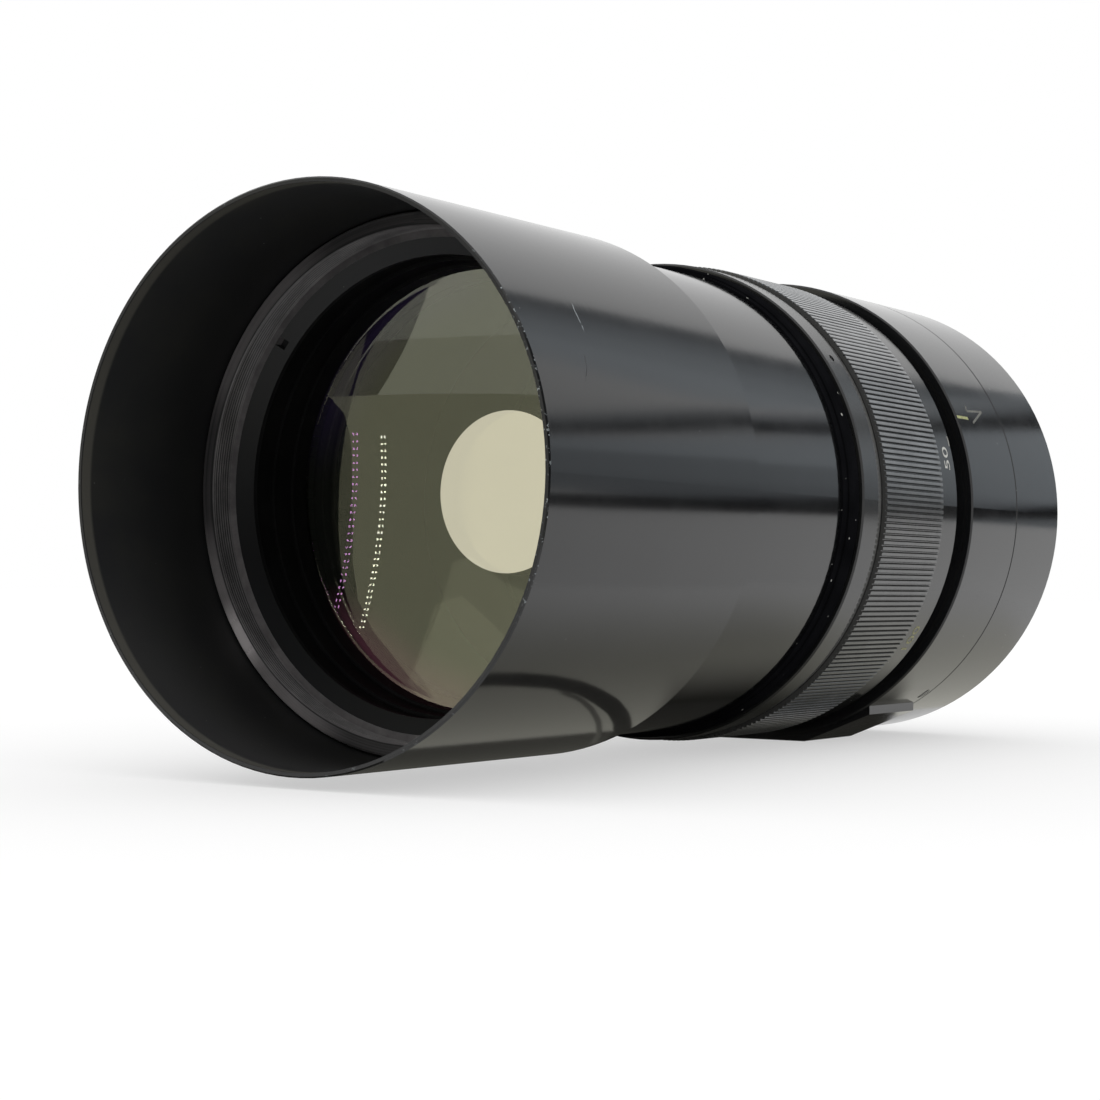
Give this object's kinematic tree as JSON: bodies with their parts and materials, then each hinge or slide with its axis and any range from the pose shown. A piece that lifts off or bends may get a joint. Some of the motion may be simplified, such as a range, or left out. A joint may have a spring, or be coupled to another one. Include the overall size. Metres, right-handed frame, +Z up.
{
  "type": "mirror telephoto lens",
  "caption": "Large black mirror telephoto lens with a sliding hood, a finely knurled focusing ring, a low tripod foot and a three-lug camera mount.",
  "frame": {"origin": "mouth of the tripod socket, in the middle of the foot's flat underside", "axes": "+Z up; the lens axis is parallel to Y, 60.6 mm above the origin, with the front towards -Y and the camera side towards +Y"},
  "size_m": [0.1194, 0.274, 0.1203],
  "materials": {
    "satin_black_metal": "satin black anodised",
    "matte_black_metal": "matte black",
    "worn_ring_metal": "black worn to bare metal at its edges",
    "felt": "black felt",
    "spring_steel": "blackened to plain steel",
    "brass": "turned",
    "optical_glass": "coated",
    "mirror_coat": "silvered",
    "chrome": "bright"
  },
  "bodies": {
    "hood": {"hood": "satin_black_metal", "hood_guide_ring": "matte_black_metal"},
    "focus_ring": {"focus_grip": "satin_black_metal", "scale_ring": "satin_black_metal", "focus_sleeve": "brass", "focus_set_screws": "spring_steel"},
    "mirror_carrier": {"mirror_carriage": "matte_black_metal", "primary_mirror": "mirror_coat", "mirror_clip_ring": "matte_black_metal", "guide_pins": "brass", "baffle_tube": "matte_black_metal"},
    "lens_body": {"front_barrel": "satin_black_metal", "hood_felt_band": "felt", "hood_stop_ring": "spring_steel", "filter_ring": "worn_ring_metal", "front_retainer": "satin_black_metal", "corrector_cell": "matte_black_metal", "corrector_glass": "optical_glass", "secondary_spot": "mirror_coat", "secondary_shade": "matte_black_metal", "corrector_lock_ring": "matte_black_metal", "black_ring": "matte_black_metal", "core_tube": "matte_black_metal", "recess_band": "matte_black_metal", "rear_collar": "satin_black_metal", "rear_shell": "satin_black_metal", "rear_cone": "satin_black_metal", "tripod_foot": "satin_black_metal", "tripod_bush": "spring_steel", "foot_screws": "spring_steel", "collar_screws": "spring_steel", "rear_lens_cell": "matte_black_metal", "rear_lens_front": "optical_glass", "rear_lens_spacer": "matte_black_metal", "rear_lens_back": "optical_glass", "rear_lock_ring": "matte_black_metal", "rear_filter_ring": "matte_black_metal", "rear_filter_glass": "optical_glass", "camera_mount": "chrome", "mount_screws": "spring_steel"}
  },
  "joints": [
    {"name": "hood_slide", "type": "slide", "parent": "lens_body", "child": "hood", "axis": [0, 1, 0], "range_m": [0, 0.036]},
    {"name": "focus_turn", "type": "hinge", "parent": "lens_body", "child": "focus_ring", "pos_m": [0, 0, 0.0606], "axis": [0, 1, 0], "range_deg": [-40, 160]},
    {"name": "mirror_shift", "type": "slide", "parent": "lens_body", "child": "mirror_carrier", "axis": [0, -1, 0], "range_m": [-0.0014, 0.0056]}
  ],
  "couplings": [
    {"joint": "mirror_shift", "follows": "focus_turn", "m_per_rad": 0.0020053}
  ]
}
